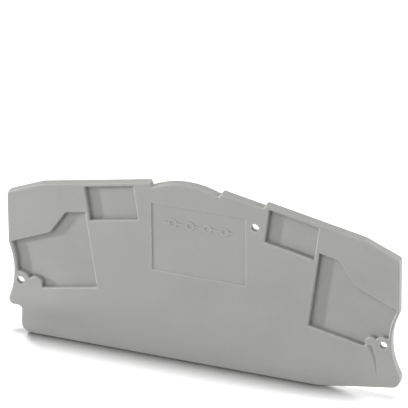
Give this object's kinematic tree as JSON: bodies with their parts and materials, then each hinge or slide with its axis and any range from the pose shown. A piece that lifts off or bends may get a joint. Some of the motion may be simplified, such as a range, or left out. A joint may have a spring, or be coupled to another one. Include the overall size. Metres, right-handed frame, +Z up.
{
  "type": "terminal block end cover",
  "caption": "Flat moulded plastic end cover for a rail-mounted feed-through terminal block, with a bowed roof edge, waisted ends, shallow pockets and peg holes.",
  "frame": {"origin": "middle of the plate in length and thickness, on its bottom edge", "axes": "+X along the plate, to the right as seen from the moulded face; +Y from the moulded face to the flat back; +Z up towards the roof edge"},
  "size_m": [0.101, 0.002, 0.049],
  "materials": {
    "grey_polyamide": "fine matte moulded surface"
  },
  "bodies": {
    "root": {"end_cover": "grey_polyamide"}
  },
  "joints": []
}
